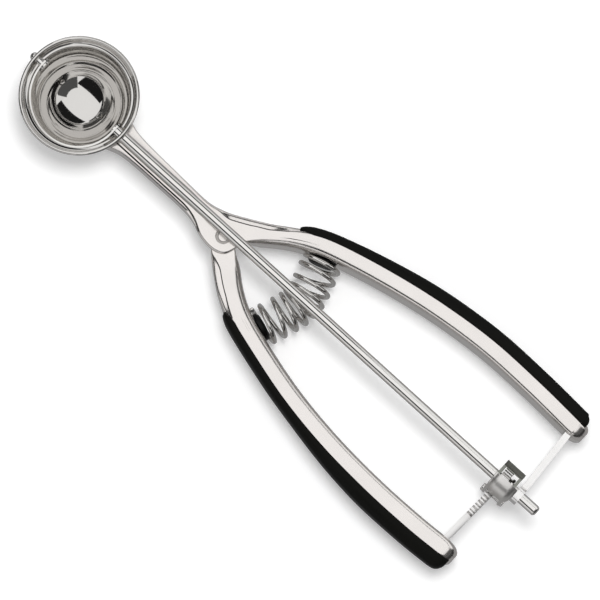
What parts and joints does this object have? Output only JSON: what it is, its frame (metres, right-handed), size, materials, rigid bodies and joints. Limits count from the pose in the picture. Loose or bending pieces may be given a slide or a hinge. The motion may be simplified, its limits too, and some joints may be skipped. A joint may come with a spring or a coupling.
{
  "type": "lever ice cream scoop",
  "caption": "Squeeze-handle scoop: a round bowl on a long rod, two sprung channel handles with black rubber grips, and a rack and pinion that swings a scraper band round the bowl.",
  "frame": {"origin": "under the middle of the tool's length and width, level with the bottom of the bowl", "axes": "+X from the bowl to the free end of the rod, +Y towards the fixed handle, +Z out of the mouth of the bowl"},
  "size_m": [0.2178, 0.0722, 0.0233],
  "materials": {
    "polished_steel": "polished stainless sheet with faint drawing marks",
    "rod_steel": "bright drawn stainless bar",
    "cut_steel": "blanked and tumbled stainless",
    "rivet_steel": "bright formed stainless",
    "spring_steel": "bright drawn wire",
    "black_rubber": "satin, fine moulded grain"
  },
  "bodies": {
    "frame": {"bowl": "polished_steel", "fixed_handle": "polished_steel", "fixed_grip": "black_rubber", "scraper_stud": "polished_steel", "hinge_rivet": "rivet_steel", "hinge_washer": "rivet_steel", "support_arm": "cut_steel", "arm_rivet": "rivet_steel", "gear_housing": "polished_steel", "rack_guide_pin": "rivet_steel", "fixed_spring_seat": "rivet_steel", "return_spring": "spring_steel"},
    "lever": {"moving_handle": "polished_steel", "moving_grip": "black_rubber", "rack": "cut_steel", "rack_rivet": "rivet_steel", "moving_spring_seat": "rivet_steel"},
    "drive": {"rod": "rod_steel", "scraper_band": "polished_steel", "pinion": "cut_steel", "pinion_spacer": "cut_steel"}
  },
  "joints": [
    {"name": "handle_squeeze", "type": "hinge", "parent": "frame", "child": "lever", "pos_m": [-0.02405, -0.00175, 0.0143], "axis": [0, 0, 1], "range_deg": [0, 4.75], "stiffness_Nm_per_rad": 17, "springref_deg": -3.44, "deforming": ["return_spring"]},
    {"name": "blade_turn", "type": "hinge", "parent": "frame", "child": "drive", "pos_m": [0, 0, 0.0172], "axis": [1, 0, 0], "range_deg": [0, 140]}
  ],
  "couplings": [
    {"joint": "blade_turn", "follows": "handle_squeeze", "ratio": 29.5}
  ]
}
